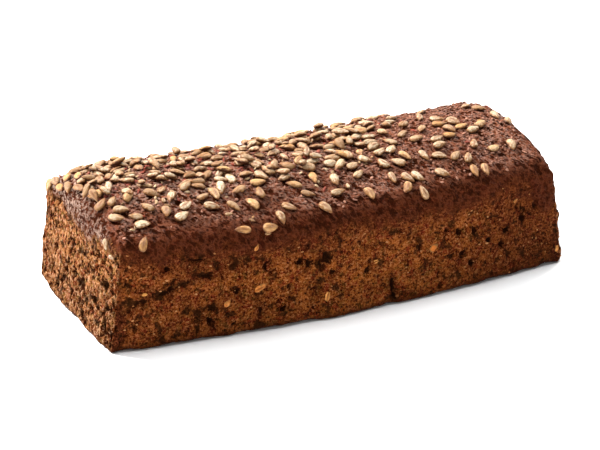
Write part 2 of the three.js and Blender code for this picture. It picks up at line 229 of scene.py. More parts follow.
def form_at(points):
    """Below zero inside the loaf, above zero outside it."""
    x, y, z = points.T
    across = y - PLAN_SHIFT + bow_at(x)
    side = np.abs(across) - side_reach(x, z)
    end = np.abs(x) - end_reach(across, z)
    wall = rounded_max(side, end, CORNER_RADIUS)
    crust = rounded_max(wall, z - crown_at(x, across), SHOULDER_RADIUS) - unevenness(points)
    return rounded_max(crust, -z, FOOT_RADIUS)


def outward_at(points, probe=0.2):
    slopes = []
    for axis in np.eye(3) * probe:
        slopes.append(form_at(points + axis) - form_at(points - axis))
    return unit(rows(*slopes))


def crossing(inside, outside, halvings=30):
    """Where each line from a point inside to a point outside crosses the surface."""
    near = np.zeros(len(inside))
    far = np.ones(len(inside))
    for _ in range(halvings):
        middle = (near + far) / 2
        within = form_at(inside + (outside - inside) * middle[:, None]) < 0
        near = np.where(within, middle, near)
        far = np.where(within, far, middle)
    return inside + (outside - inside) * ((near + far) / 2)[:, None]


def crust_above(x, y):
    return crossing(rows(x, y, WALL_HEIGHT / 2), rows(x, y, CROWN_HEIGHT + SHOULDER_RADIUS))


def front_wall_at(x, z):
    inside = rows(x, PLAN_SHIFT - bow_at(x), z)
    return crossing(inside, inside - np.array([0, WIDTH, 0]))


def end_wall_at(end, y, z):
    """The left end is -1 and the right one 1."""
    inside = rows(end * HALF_LENGTH / 2, y, z)
    return crossing(inside, inside + np.array([end * LENGTH, 0, 0]))


# ---- seeded noise on points (mm)

HASH_PRIMES = (73856093, 19349663, 83492791, 1274126177)
HASH_MASK = 0xFFFFFFFF


def cell_random(cells, seed):
    """One number from 0 to 1 for each cell of whole coordinates."""
    x, y, z = np.moveaxis(cells.astype(np.int64), -1, 0)
    mixed = (x * HASH_PRIMES[0]) ^ (y * HASH_PRIMES[1]) ^ (z * HASH_PRIMES[2]) ^ (seed * HASH_PRIMES[3])
    mixed &= HASH_MASK
    for shift in (15, 13, 16):
        mixed = (mixed ^ (mixed >> shift)) * HASH_PRIMES[3] & HASH_MASK
    return ((mixed ^ (mixed >> 16)) & HASH_MASK) / (HASH_MASK + 1)


def noise(points, size, seed):
    """Smooth noise from -1 to 1. The size is one number, or one for each axis."""
    scaled = points / size
    base = np.floor(scaled)
    share = smoothstep(scaled - base, 0, 1)
    total = np.zeros(len(points))
    for corner in np.ndindex(2, 2, 2):
        weight = np.prod(np.where(corner, share, 1 - share), axis=1)
        total += weight * (2 * cell_random(base + corner, seed) - 1)
    return total


def layered_noise(points, size, seed, layers=3):
    return sum(noise(points, np.array(size) / 2**i, seed + i) / 2**i for i in range(layers))


def warped(points, size, amount, seed):
    return points + amount * rows(*(noise(points, size, seed + axis) for axis in range(3)))


def blobs(points, spacing, radii, chance, seed, stretch=(1, 1, 1)):
    """How deep each point lies in the nearest of many scattered balls: 1 at the middle of the largest."""
    scaled = points / stretch
    home = np.floor(scaled / spacing)
    deepest = np.zeros(len(points))
    for offset in np.ndindex(3, 3, 3):
        cell = home + offset - 1
        jitter = rows(*(cell_random(cell, seed + axis) for axis in range(3)))
        radius = mix(radii[0], radii[1], cell_random(cell, seed + 3))
        there = cell_random(cell, seed + 4) < chance
        distance = np.linalg.norm(scaled - (cell + jitter) * spacing, axis=1)
        share = np.clip(1 - (distance / radius) ** 2, 0, 1) * radius / radii[1]
        deepest = np.maximum(deepest, np.where(there, share, 0))
    return deepest


# ---- the body's grid

BODY_STEPS = (300, 128, 64)  # along the loaf, across it and up
EDGE_CROWDING = 0.2
SPINE_END = HALF_LENGTH - 50
SPINE_HEIGHT = 30
BEYOND = 1.15
FOOT_REACH = 7  # the lowest rows aim this far below the floor, so that they spread round the foot's edge
FOOT_CROWDING = 10


def box_shell():
    """Grid numbers and quads of a box's top and four walls, and the rim of its open floor."""
    nx, ny, nz = BODY_STEPS
    number = np.full((nx + 1, ny + 1, nz + 1), -1)
    i, j, k = np.indices(number.shape)
    shell = (i == 0) | (i == nx) | (j == 0) | (j == ny) | (k == nz)
    number[shell] = np.arange(shell.sum())
    grid = rows(i[shell], j[shell], k[shell])

    def quads(sheet):
        corners = [sheet[:-1, :-1], sheet[1:, :-1], sheet[1:, 1:], sheet[:-1, 1:]]
        return np.stack(corners, axis=-1).reshape(-1, 4)

    faces = np.concatenate([
        quads(number[:, :, nz]),
        quads(number[:, 0, :]),
        quads(number[::-1, ny, :]),
        quads(number[0, ::-1, :]),
        quads(number[nx, :, :]),
    ])
    rim = [number[:-1, 0, 0], number[nx, :-1, 0], number[:0:-1, ny, 0], number[0, :0:-1, 0]]
    return grid, faces, np.concatenate(rim)[::-1]


def body_points(grid):
    """Lays the box's grid on the sharp-edged form, then draws it in to the rounded one."""
    share = 2 * grid / np.array(BODY_STEPS) - 1
    share = share * (1 + EDGE_CROWDING * (1 - share**2))
    rise = (share[:, 2] + 1) / 2
    z = rise * crown_at(share[:, 0] * HALF_LENGTH, share[:, 1] * HALF_WIDTH)
    x = share[:, 0] * end_reach(share[:, 1] * HALF_WIDTH, z)
    y = share[:, 1] * side_reach(x, z) - bow_at(x) + PLAN_SHIFT
    spine = rows(np.clip(x, -SPINE_END, SPINE_END), PLAN_SHIFT - bow_at(x), SPINE_HEIGHT)
    target = rows(x, y, z - FOOT_REACH * (1 - rise) ** FOOT_CROWDING)
    points = crossing(spine, spine + BEYOND * (target - spine))
    points[grid[:, 2] == 0, 2] = 0
    return points


# ---- the body's relief

SIDE_CRUST_START = 47  # height at which a side wall begins to turn into crust
END_CRUST_START = 50
CORNER_CRUST_DROP = 18  # how much lower the crust reaches beside the right end
CRUST_BLEND = 10
END_CRUST_BLEND = 8
BROWNING_START = 30  # the side walls grow darker and redder from here up
FOOT_STRIP = 4  # height of the smoother strip along the base
FOOT_WAVES = 1.0  # how far the base's edge wanders in and out
CLEARANCE = 0.02  # all but the base's edge stays this far above the floor
CRACK_WOBBLE = 1.7
CRACK_HALO = 6  # how far from a crack the crumb is still darker, with painted shade and more stains
END_HOLE_SQUASH = 0.55  # under 1, holes are taller than they are wide
WALL_HOLE_SQUASH = 0.8
FOLD_DIRECTION = Vector((0.55, -0.7, -0.45))  # the crust's folds run down the front slope, to the right
FOLD_TURN = FOLD_DIRECTION.to_track_quat("X", "Z")
UPRIGHT_TURN = Vector((0, 0, 1)).to_track_quat("X", "Y")


def crack_field(points):
    """How deep the front wall's cracks are at each point, and how near it is to one, from 0 to 1."""
    x, y, z = points.T
    wobble = rows(noise(points, 5, 801), noise(points, 3.5, 802)) * CRACK_WOBBLE
    torn = np.clip(0.75 + 0.9 * noise(points, 5, 803), 0.2, 1.1)
    deepest = np.zeros(len(points))
    nearest = np.zeros(len(points))
    for places, width, depth in FRONT_CRACKS:
        path = np.array(places)
        length = np.linalg.norm(np.diff(path, axis=0), axis=1).sum()
        travelled = 0
        for start, end in zip(path[:-1], path[1:]):
            step = end - start
            reach = np.linalg.norm(step)
            place = rows(x, z) + wobble - start
            share = np.clip(place @ step / reach**2, 0, 1)
            distance = np.linalg.norm(place - share[:, None] * step, axis=1)
            along = (travelled + share * reach) / length
            taper = np.minimum(1, 4 * np.minimum(along, 1 - along) + 0.2)
            profile = np.clip(1.15 - distance / (0.75 * width), 0, 1)
            deepest = np.maximum(deepest, depth * taper * profile)
            nearest = np.maximum(nearest, np.clip(1 - distance / CRACK_HALO, 0, 1))
            travelled += reach
    front = y < 0
    return deepest * torn * front, nearest * front


def end_holes():
    """The middle and radius of each open hole in the end walls."""
    draw = seeded_draws(END_HOLES["seed"])
    lowest, highest, outermost = END_HOLE_PLACES.values()
    holes = []
    for _ in range(END_HOLES["tries"]):
        end = -1 if draw() < 0.5 else 1
        y = mix(-outermost, outermost, draw()) * HALF_WIDTH + PLAN_SHIFT
        z = mix(lowest, highest, draw()) * WALL_HEIGHT
        radius = mix(END_HOLES["smallest"], END_HOLES["largest"], draw()) / 2
        place = end_wall_at(end, np.array([y]), np.array([z]))[0]
        if all(np.linalg.norm(other - place) >= END_HOLES["gap"] for other, _ in holes):
            holes.append((place, radius))
    return holes


def wall_holes():
    """The middle and radius of each further hole in the front wall and in the left end."""
    x, front_z, front_size = np.array(FRONT_HOLES).T
    y, end_z, end_size = np.array(LEFT_END_HOLES).T
    places = np.concatenate([front_wall_at(x, front_z), end_wall_at(-1, y, end_z)])
    return list(zip(places, np.concatenate([front_size, end_size]) / 2))


def hole_depth(points, holes, depth, squash):
    """How deep ragged open holes are at each point."""
    deepest = np.zeros(len(points))
    uneven = warped(points, 2.3, 1.3, 811)
    for place, radius in holes:
        distance = np.linalg.norm((uneven - place) * np.array([1, 1, squash]), axis=1)
        deepest = np.maximum(deepest, depth * np.clip(1.1 - (distance / radius) ** 2, 0, 1))
    return deepest


def torn_pits(points, size, seed, start, full):
    """Ragged pits of a torn crumb, from 0 on the surface to 1 at their bottoms."""
    uneven = warped(points, size, 0.3 * np.min(size), seed)
    return smoothstep(layered_noise(uneven, size, seed + 3, 2), start, full)


def lumps_of(points, *layers):
    """Layers of smooth lumps, each with its height, size and seed."""
    return sum(height * noise(points, size, seed) for height, size, seed in layers)


def crust_relief(points):
    """A dry, wrinkled skin: lumps, grains under it, folds that run down its slopes, and crags behind."""
    lumps = lumps_of(points, (0.5, 9, 101), (0.6, 4.2, 102), (0.35, 2.1, 103))
    grains = 0.4 * blobs(warped(points, 3, 0.6, 104), spacing=3.2, radii=(0.8, 1.7), chance=0.5, seed=107)
    folds = 0.8 * np.abs(noise(points @ np.array(FOLD_TURN.to_matrix()), (5.5, 2.8, 2.8), 112))
    crags = 1.6 * smoothstep(points[:, 1], 0, 40) * np.clip(noise(points, 4.6, 120), 0, 1)
    return lumps + grains + crags - folds


def side_relief(points):
    """Small torn pits and round pores in a fairly flat wall."""
    pits = 1.3 * torn_pits(points, 3.2, 201, 0.3, 0.9)
    pores = 0.8 * blobs(warped(points, 3, 0.7, 211), spacing=2.8, radii=(0.6, 1.4), chance=0.6, seed=214)
    holes = 2.4 * blobs(warped(points, 3, 1.4, 217), spacing=8.5, radii=(1.4, 2.8), chance=0.3, seed=220)
    swells = lumps_of(points, (0.5, 10, 231), (0.5, 4.5, 232), (0.2, 2.2, 233))
    return swells - np.maximum(np.maximum(pits, pores), holes)


def end_relief(points):
    """Distinct deep pits in a rough crumb, taller than they are wide."""
    uneven = warped(points, 2.6, 0.9, 301)
    pits = 3.5 * blobs(uneven, spacing=6.4, radii=(1.4, 3.0), chance=0.85, seed=304, stretch=(1, 1, 1.7))
    pores = 2.4 * blobs(uneven, spacing=3.6, radii=(0.8, 1.9), chance=0.9, seed=311, stretch=(1, 1, 1.5))
    crumb = torn_pits(points, 2.4, 317, 0.1, 0.8)
    lumps = lumps_of(points, (0.7, 6, 321), (0.35, 2.0, 322))
    return lumps - np.maximum(np.maximum(pits, pores), crumb)


def browning_and_shade_at(points, ragged):
    """How much darker and redder the side walls are: browned upwards, and with painted shade towards the ends
    and beside their corners.
    """
    off_middle = np.abs(points[:, 0])
    upper = smoothstep(points[:, 2] + 4 * ragged, BROWNING_START, SIDE_CRUST_START + CRUST_BLEND)
    # painted shade towards the ends
    outer = np.where(points[:, 0] > 0, 0.75, 0.4) * smoothstep(off_middle + 12 * ragged, 30, 110)
    # painted shade beside the corners
    corner = 1.1 * smoothstep(off_middle + 2 * ragged, 123, 133)
    return np.maximum(upper, np.maximum(outer, corner))


def painted_glints_at(points, normals):
    """How much painted pale glint the crust has: most on the left end's shoulder, and some along the top,
    where it also stands for pale crumbs.
    """
    x = points[:, 0]
    left = smoothstep(-x, 112, 132) * smoothstep(normals[:, 2] - normals[:, 0], 0.7, 1.1)
    left *= smoothstep(normals[:, 1], -0.24, 0.06)
    right = 0.2 * smoothstep(x, 60, 105) * smoothstep(normals[:, 2], 0.86, 0.98)
    top = mix(0.4, 0.14, smoothstep(x, -10, 60)) * smoothstep(normals[:, 2], 0.9, 0.99)
    return np.maximum(np.maximum(left, right), top)


def surface_masks(points, normals):
    """How far each point belongs to each part of the surface, from 0 to 1, as its material reads it."""
    x, _, height = points.T
    ragged = layered_noise(points, (12, 12, 9), 401, 4)
    end = smoothstep(np.abs(normals[:, 0]), 0.45, 0.75)
    start = mix(SIDE_CRUST_START, END_CRUST_START, end)
    start = start - CORNER_CRUST_DROP * smoothstep(x, 112, 128) * (1 - end)
    full = start + mix(CRUST_BLEND, END_CRUST_BLEND, end)
    return {
        "end": end,
        "steep": 1 - smoothstep(normals[:, 2], 0.55, 0.97),
        "front_slope": smoothstep(-normals[:, 1], 0.08, 0.5) * mix(0.75, 1, smoothstep(x, -120, -40)),
        "painted_glints": painted_glints_at(points, normals),
        "crust": smoothstep(height + 5.5 * ragged, start, full),
        "browning_and_shade": browning_and_shade_at(points, ragged) * (1 - end),
        "low": 1 - smoothstep(height, 8, 44),
        "foot": 1 - smoothstep(height + 1.5 * ragged, 0.3 * FOOT_STRIP, 1.3 * FOOT_STRIP),
    }


def relieved(points, normals):
    """The points moved out or in by the surface's relief, with the attributes its material reads."""
    attributes = surface_masks(points, normals)
    crust = attributes["crust"]
    wall = mix(side_relief(points), end_relief(points), attributes["end"]) * (1 - 0.75 * attributes["foot"])
    wall = wall + FOOT_WAVES * noise(points, (8, 8, 30), 431) * np.exp(-points[:, 2] / FOOT_STRIP)
    cracks, attributes["crack_stain_and_shade"] = crack_field(points)
    end_depth = hole_depth(points, end_holes(), END_HOLES["depth"], END_HOLE_SQUASH)
    wall_depth = hole_depth(points, wall_holes(), WALL_HOLE_DEPTH, WALL_HOLE_SQUASH)
    gashes = np.maximum(cracks, np.maximum(end_depth, wall_depth))
    skin = crust_relief(points) * (1 - 0.2 * attributes["steep"])
    relief = mix(wall, skin, crust) - gashes * (1 - crust)
    moved = points + normals * relief[:, None]
    moved[:, 2] = np.where(points[:, 2] > 0, np.maximum(moved[:, 2], CLEARANCE), 0)
    # how deep each point lies in the relief, for painted shade in its hollows
    attributes["cavity_shade"] = smoothstep(-relief, 0.5, 1.8)
    attributes["crack"] = smoothstep(gashes, 0.4, 1.8)
    return moved, attributes


# ---- meshes


def add_object(name, data):
    thing = bpy.data.objects.new(name, data)
    bpy.context.collection.objects.link(thing)
    return thing


def make_piece(name, points, faces, attributes, material, slot):
    """A mesh object from points in millimetres, which stands for the CAD loaf."""
    mesh = bpy.data.meshes.new(name)
    mesh.from_pydata((points * MM).tolist(), [], faces)
    mesh.validate()
    mesh.polygons.foreach_set("use_smooth", [True] * len(mesh.polygons))
    for label, values in attributes.items():
        layer = mesh.attributes.new(label, "FLOAT", "POINT")
        layer.data.foreach_set("value", np.ascontiguousarray(values, dtype=np.float32))
    mesh.materials.append(material)
    piece = add_object(name, mesh)
    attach(piece, "root")
    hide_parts("loaf")


def unit_ball(subdivisions):
    ball = bmesh.new()
    bmesh.ops.create_icosphere(ball, subdivisions=subdivisions, radius=1)
    points = np.array([vertex.co[:] for vertex in ball.verts])
    faces = [[vertex.index for vertex in face.verts] for face in ball.faces]
    ball.free()
    return points, faces


def joined(shapes, faces):
    """Many shapes with the same faces, as one list of points and one of faces."""
    count, size, _ = shapes.shape
    starts = range(0, count * size, size)
    all_faces = [[start + corner for corner in face] for start in starts for face in faces]
    return shapes.reshape(-1, 3), all_faces


def lying_frames(normals, turns):
    """For each normal, the axes of a thing that lies on that surface: heading, across and up."""
    level = rows(np.cos(turns), np.sin(turns), 0)
    heading = unit(level - normals * np.sum(level * normals, axis=1, keepdims=True))
    return np.stack([heading, np.cross(normals, heading), normals], axis=2)


# ---- the kernels


def scatter_at(x, across):
    """The chance that a kernel stays where it falls."""
    slanted = x - SCATTER["thinning_slant"] * across
    right = smoothstep(slanted, SCATTER["thinning_start"], SCATTER["thinning_end"])
    spread = SCATTER["spread"] - SCATTER["narrowing"] * right
    edge = SCATTER["front_edge"] + SCATTER["front_rise"] * right
    front = smoothstep(across, edge, edge + SCATTER["front_blend"])
    bell = np.exp(-(((across - SCATTER["ridge"]) / spread) ** 2))
    return SCATTER["thickest"] * front * bell * (1 - SCATTER["thinning"] * right)


def beads_of(x, y, turn, size):
    heading = np.array([math.cos(turn), math.sin(turn)])
    return [np.array([x, y]) + share * KERNEL_LENGTH * size * heading for share in KERNEL_BEADS]


def fallen_kernel(draw, sizes, most_roll):
    """Its place along and across the crust, its turn, its size and its roll."""
    x = (2 * draw() - 1) * (HALF_LENGTH - END_LEAN - KERNEL_EDGE)
    across = (2 * draw() - 1) * (HALF_WIDTH - KERNEL_EDGE)
    turn = 2 * math.pi * draw()
    size = mix(*sizes, draw())
    return x, across, turn, size, mix(-most_roll, most_roll, draw())


def place_kernels():
    """Rows of x, y, turn, size, roll and nod, drawn as in the CAD source."""
    draw = seeded_draws(KERNEL_SEED)
    kernels = [(x, y, math.radians(turn), PLACED_SIZE, 0, 0) for x, y, turn in PLACED_KERNELS]
    taken = [bead for kernel in kernels for bead in beads_of(*kernel[:4])]
    for _ in range(KERNEL_TRIES):
        x, across, turn, size, roll = fallen_kernel(draw, KERNEL_SIZES, MOST_ROLL)
        nod = mix(-MOST_NOD, MOST_NOD, draw())
        if draw() > scatter_at(x, across):
            continue
        y = across - bow_at(x) + PLAN_SHIFT
        beads = beads_of(x, y, turn, size)
        near = np.array(taken)
        if all(np.hypot(*(near - bead).T).min() >= BEAD_GAP for bead in beads):
            kernels.append((x, y, turn, size, roll, nod))
            taken.extend(beads)
    return np.array(kernels)


KERNEL_RINGS = 13
KERNEL_SIDES = 16
BUTT_ROUNDNESS = 0.42  # powers of the outline: round at the butt, pointed at the tip
TIP_SHARPNESS = 0.76
SIDE_SHARPNESS = 0.9
KEEL_SHARPNESS = 1.3  # over 1, the top draws up to a soft ridge
CREASED_SHARE = 0.25
CREASE_WIDTH = 0.24  # a share of the kernel's half width, as is the next one
SEAM_WIDTH = 0.4
SEAM_UP_BEFORE = -44  # kernels further to the front than this lie with their seam up
SHAPE_SEED = 511
HEAPED = dict(
    count=96, sizes=(0.74, 1.0), resting=0.44, highest=3.9, front_edge=-20, back_edge=36,
    most_roll=0.45, most_nod=0.32, seed=520,
)


def kernel_faces():
    """Triangles round the butt and the tip, and quads between the rings."""
    tip = 1 + KERNEL_RINGS * KERNEL_SIDES
    last_ring = tip - KERNEL_SIDES
    faces = []
    for side in range(KERNEL_SIDES):
        following = (side + 1) % KERNEL_SIDES
        faces.append((0, 1 + following, 1 + side))
        for near in range(1, last_ring, KERNEL_SIDES):
            far = near + KERNEL_SIDES
            faces.append((near + side, near + following, far + following, far + side))
        faces.append((last_ring + side, last_ring + following, tip))
    return faces


def signed_power(values, power):
    return np.sign(values) * np.abs(values) ** power


def kernel_rings():
    """How far along, to the side and up each point of a kernel's rings lies, from -1 to 1."""
    along = -np.cos(np.pi * np.arange(1, KERNEL_RINGS + 1) / (KERNEL_RINGS + 1))
    girth = (1 + along) ** BUTT_ROUNDNESS * (1 - along) ** TIP_SHARPNESS
    girth /= girth.max()
    angle = 2 * np.pi * np.arange(KERNEL_SIDES) / KERNEL_SIDES
    side = np.outer(girth, signed_power(np.cos(angle), SIDE_SHARPNESS))
    rise = np.outer(girth, signed_power(np.sin(angle), KEEL_SHARPNESS))
    return np.repeat(along, KERNEL_SIDES), side.ravel(), rise.ravel()


def kernel_shapes(count, random, seam_up=False):
    """Teardrops along +X, each with its own width, bend and crease, and the attributes of their points."""
    u, side, rise = kernel_rings()

    def vary(low, high):
        return random.uniform(low, high, (count, 1))

    seam_up = np.reshape(seam_up, (-1, 1))
    crease_width = np.where(seam_up, SEAM_WIDTH, CREASE_WIDTH)
    crease = np.exp(-((side / crease_width) ** 2)) * np.clip(rise, 0, 1) * (1 - u**2)
    creased = seam_up | (vary(0, 1) < CREASED_SHARE)
    depth = np.where(creased, vary(0.4, 0.8), vary(0, 0.15))
    y = 0.5 * KERNEL_WIDTH * vary(0.86, 1.14) * side + vary(-0.7, 0.7) * (1 - u**2)
    z = 0.5 * KERNEL_THICKNESS * vary(0.95, 1.25) * rise
    z = z - depth * crease + vary(-0.5, 0.4) * (u**2 - 0.4)
    x = 0.5 * KERNEL_LENGTH * u * np.ones((count, 1))

    def end_point(place, ring):
        """The butt or the tip, as high as the ring beside it."""
        return rows(place, 0, ring.mean(axis=1))[:, None]

    butt = end_point(-0.5 * KERNEL_LENGTH, z[:, :KERNEL_SIDES])
    tip = end_point(0.5 * KERNEL_LENGTH, z[:, -KERNEL_SIDES:])
    shapes = np.concatenate([butt, np.stack([x, y, z], axis=2), tip], axis=1)

    def padded(values, ends=(0, 0)):
        """The rings' values, between those of the butt and the tip."""
        return np.pad(values * np.ones((count, 1)), ((0, 0), (1, 1)), constant_values=((0, 0), ends))

    everywhere = np.ones((1, shapes.shape[1]))
    attributes = {
        "rise": padded(rise),
        "across": padded(side),
        "crease": padded(crease * np.clip(depth * 2, 0, 1)),
        "tip": padded(u, (-1, 1)),
        "tone": vary(0, 1) * everywhere,
        "toast": np.where(seam_up, vary(0.82, 1), vary(0, 1)) * everywhere,
    }
    return shapes, attributes


def rolled_and_nodded(frames, roll, nod):
    turned = []
    for axes, about_length, about_width in zip(frames, roll, nod):
        turn = Matrix.Rotation(about_length, 3, "X") @ Matrix.Rotation(about_width, 3, "Y")
        turned.append(axes @ np.array(turn))
    return np.array(turned)


def pile_height(place, piled):
    """How high the piled beads reach above the crust at a place. Their rows are x, y and top."""
    distance = np.hypot(piled[:, 0] - place[0], piled[:, 1] - place[1]) / (BEAD_GAP / 2)
    return np.max(piled[:, 2] * np.sqrt(np.clip(1 - distance**2, 0, 1)))


def heaped_kernels(pressed):
    """Kernels that lie on or between the pressed ones, in the same order of values, with their lifts."""
    draw = np.random.default_rng(HEAPED["seed"]).random
    pressed_top = KERNEL_LIFT + KERNEL_THICKNESS / 2
    piled = [(*bead, pressed_top) for kernel in pressed for bead in beads_of(*kernel[:4])]
    kernels = []
    lifts = []
    while len(kernels) < HEAPED["count"]:
        x, across, turn, size, roll = fallen_kernel(draw, HEAPED["sizes"], HEAPED["most_roll"])
        if not HEAPED["front_edge"] < across < HEAPED["back_edge"]:
            continue
        if draw() > scatter_at(x, across) / SCATTER["thickest"]:
            continue
        y = across - bow_at(x) + PLAN_SHIFT
        beads = beads_of(x, y, turn, size)
        back, middle, front = (pile_height(bead, np.array(piled)) for bead in beads)
        lift = max(middle, (back + front) / 2) + HEAPED["resting"] * KERNEL_THICKNESS * size
        if lift > HEAPED["highest"]:
            continue
        nod = math.atan2(back - front, np.ptp(KERNEL_BEADS) * KERNEL_LENGTH * size)
        nod = max(-HEAPED["most_nod"], min(HEAPED["most_nod"], nod))
        kernels.append((x, y, turn, size, roll, nod))
        lifts.append(lift)
        piled.extend((*bead, lift + KERNEL_THICKNESS * size / 2) for bead in beads)
    return np.array(kernels), np.array(lifts)


# Kernels on the left end's upper edge: x, y, z, turn in degrees from the slope's fall, and size.
RIM_KERNELS = [
    (-131, 51, 57, 20, 0.9), (-129, 46, 61, 70, 0.95), (-131, 36, 62, 95, 0.9),
    (-130, 24, 66, 50, 0.95), (-128, 13, 69.5, 100, 1),
    (-131.8, -36.3, 57.9, 25, 0.75), (-132, -43.6, 54, -20, 0.55),
]
# Pieces of kernels on the crust: x, y, turn in degrees, and size.
BROKEN_KERNELS = [
    (-95.6, -24.2, 80, 0.5), (-97.7, -32, 40, 0.45), (-95, -29, -30, 0.4), (-55, -49.6, -40, 0.4),
    (-53.5, -47.5, 50, 0.3), (-48.5, -55.7, -10, 0.38), (-65.6, -43.3, 0, 0.5), (6.9, -39.2, 80, 0.45),
    (49, -23.4, 20, 0.45), (108.2, -1.8, 0, 0.4), (98.9, -7.3, 60, 0.5),
]
RIM_LIFT = 1.3
RIM_ROLL = -0.5  # they lean towards the front


def rim_kernels():
    """The places of the edge's kernels, and lists of their turns from above, sizes, rolls, nods and lifts."""
    x, y, z, turn, size = np.array(RIM_KERNELS).T
    towards_middle = np.array([1, 0, -1]) * SHOULDER_RADIUS
    near = rows(x, y, z)
    places = crossing(near + towards_middle, near - towards_middle)
    level = np.zeros(len(x))
    return places, [np.pi + np.radians(turn), size, level + RIM_ROLL, level, level + RIM_LIFT]


def lay_kernels(name, middles, frames, sizes, shapes, attributes, material):
    """Sets each shape at its place, turned to its frame, and makes one piece of them all."""
    shapes = np.einsum("nij,nkj->nki", frames, shapes * sizes[:, None, None]) + middles[:, None]
    flat = {label: values.reshape(-1) for label, values in attributes.items()}
    make_piece(name, *joined(shapes, kernel_faces()), flat, material, "kernel")


def make_kernels(material):
    """The pressed, heaped and broken kernels on the crust, and those on the left end's edge."""
    pressed = place_kernels()
    heaped, heaped_lifts = heaped_kernels(pressed)
    broken = np.array([(x, y, math.radians(turn), size, 0, 0) for x, y, turn, size in BROKEN_KERNELS])
    x, y, *loose = np.concatenate([pressed, heaped, broken]).T
    lifts = [np.full(len(pressed), KERNEL_LIFT), heaped_lifts, KERNEL_LIFT * broken[:, 3]]
    rim_places, rim = rim_kernels()
    turn, size, roll, nod, lift = np.concatenate([[*loose, np.concatenate(lifts)], rim], axis=1)
    places = np.concatenate([crust_above(x, y), rim_places])
    normals = outward_at(places)
    frames = rolled_and_nodded(lying_frames(normals, turn), roll, nod)
    random = np.random.default_rng(SHAPE_SEED)
    shapes, attributes = kernel_shapes(len(places), random, places[:, 1] < SEAM_UP_BEFORE)
    middles = places + normals * lift[:, None]
    lay_kernels("sunflower_kernels", middles, frames, size, shapes, attributes, material)


# Kernels baked into the front wall: x, z, length, and turn in degrees from level.
WALL_KERNELS = [
    (-14, 14.5, 7.5, 75), (-72, 21, 6.5, 60), (-54, 27, 8.5, 20), (-56, 51, 4.2, 60),
    (15, 29, 6, 10), (51, 30, 6.5, 35), (134, 10, 5, 85), (-118, 33, 3.5, 0), (104, 46, 4.5, 20),
]
WALL_KERNEL_SINK = 0.25  # share of a wall kernel's thickness that its middle lies under the surface


def make_wall_kernels(material):
    x, z, length, turn = np.array(WALL_KERNELS).T
    places = front_wall_at(x, z)
    normals = outward_at(places)
    across = unit(np.cross(normals, rows(np.cos(np.radians(turn)), 0, np.sin(np.radians(turn)))))
    frames = np.stack([np.cross(across, normals), across, normals], axis=2)
    shapes, attributes = kernel_shapes(len(x), np.random.default_rng(SHAPE_SEED + 1))
    size = length / KERNEL_LENGTH
    middles = places - normals * (WALL_KERNEL_SINK * KERNEL_THICKNESS * size)[:, None]
    lay_kernels("wall_kernels", middles, frames, size, shapes, attributes, material)


# ---- small things on and in the crust

# The sizes are the least and most of a thing's length, width and thickness. The fineness is that of the
# ball it is made from, the cuts are its flat faces, and the lift is a share of its thickness.
GRAINS = dict(
    slot="crust", count=1500, seed=601, fineness=2, cuts=4, tilt=0.7, curl=0, lift=0.2,
    sizes=[(1.0, 3.0), (0.8, 2.1), (0.6, 1.4)],
    dark=(66, 26, 12), light=(174, 124, 100), roughness=0.6, specular=0.2,
)
FLAKES = dict(
    slot="crust", count=260, seed=612, fineness=3, cuts=9, tilt=0.6, curl=0.1, lift=0.7,
    sizes=[(2.6, 6.5), (1.8, 3.6), (0.6, 1.0)],
    dark=(66, 22, 12), light=(140, 60, 38), roughness=0.6, specular=0.2,
)
CHIPS = dict(
    slot="kernel", count=150, seed=613, fineness=3, cuts=9, tilt=0.4, curl=0, lift=0.35,
    sizes=[(2.2, 5.0), (1.4, 2.8), (0.8, 1.8)],
    dark=(140, 100, 60), light=(206, 180, 142), roughness=0.6, specular=0.3,
)
SPECKS = dict(
    slot="kernel", count=260, seed=604, fineness=2, cuts=2, tilt=0.3, curl=0, lift=0,
    sizes=[(0.9, 2.2), (0.7, 1.3), (0.5, 0.9)],
    dark=(134, 78, 38), light=(188, 130, 82), roughness=0.8, specular=0.1,
)


def cut_flat(shapes, cuts, random):
    """Presses each shape in at a few random planes, so that it has the flat faces of a broken piece."""
    for _ in range(cuts):
        normal = unit(random.normal(size=(len(shapes), 3)))
        reach = random.uniform(0.35, 0.75, (len(shapes), 1))
        over = np.maximum(np.einsum("nki,ni->nk", shapes, normal) - reach, 0)
        shapes = shapes - over[:, :, None] * normal[:, None]
    return shapes


def make_scattered(name, points, normals, weights, settings):
    """Small things of one kind that lie on the body's surface, where the weights are high, as one piece."""
    random = np.random.default_rng(settings["seed"])
    count = settings["count"]
    chosen = random.choice(len(weights), size=count, replace=False, p=weights / weights.sum())
    ball, faces = unit_ball(settings["fineness"])
    shapes = cut_flat(np.repeat(ball[None], count, axis=0), settings["cuts"], random)
    low, high = np.array(settings["sizes"]).T
    sizes = mix(low, high, random.uniform(size=(count, 3)))
    frames = lying_frames(normals[chosen], random.uniform(0, 2 * np.pi, count))
    tilt = settings["tilt"]
    roll = random.uniform(-tilt, tilt, count)
    frames = rolled_and_nodded(frames, roll, random.uniform(-tilt, tilt, count))
    shapes = shapes * sizes[:, None] / 2
    shapes[:, :, 2] -= settings["curl"] * shapes[:, :, 0] ** 2
    lift = sizes[:, 2] * settings["lift"]
    middles = points[chosen] + normals[chosen] * lift[:, None]
    shapes = np.einsum("nij,nkj->nki", frames, shapes) + middles[:, None]
    tone = np.repeat(random.uniform(size=count), len(ball))
    make_piece(name, *joined(shapes, faces), {"tone": tone}, grain_material(name, settings), settings["slot"])


# ---- materials


def linear_colour(screen_colour):
    """A colour as a screen shows it, from 0 to 255, as the linear numbers that Blender uses."""
    shares = [value / 255 for value in screen_colour]
    return (*(value / 12.92 if value <= 0.04045 else ((value + 0.055) / 1.055) ** 2.4 for value in shares), 1)


